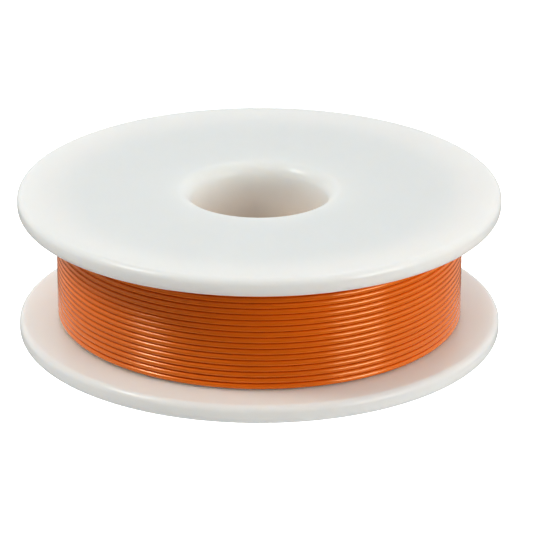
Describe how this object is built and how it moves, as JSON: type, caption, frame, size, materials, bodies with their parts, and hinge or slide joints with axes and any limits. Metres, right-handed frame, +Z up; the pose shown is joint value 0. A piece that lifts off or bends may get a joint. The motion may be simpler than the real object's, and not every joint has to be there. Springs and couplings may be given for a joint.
{
  "type": "reel of insulated wire",
  "caption": "Small milky plastic reel wound full with orange insulated wire: two flanges with rounded rims, a plain spindle bore, and the wire's free end taped down.",
  "frame": {"origin": "middle of the underside of the lower flange, which the reel stands on", "axes": "+Z up along the spindle axis; the wire's free end and the tape are on the +Y side"},
  "size_m": [0.065, 0.065, 0.0202],
  "materials": {
    "milky_plastic": "translucent milky moulded plastic, satin gloss",
    "wire_jacket": "glossy orange extruded wire jacket",
    "paper_tape": "cream crepe paper tape, matte"
  },
  "bodies": {
    "root": {"upper_reel_half": "milky_plastic", "lower_reel_half": "milky_plastic", "wire_inner_layers": "wire_jacket", "wire_outer_layer": "wire_jacket", "wire_start_end": "wire_jacket", "wire_free_end": "wire_jacket", "end_tape": "paper_tape"}
  },
  "joints": []
}
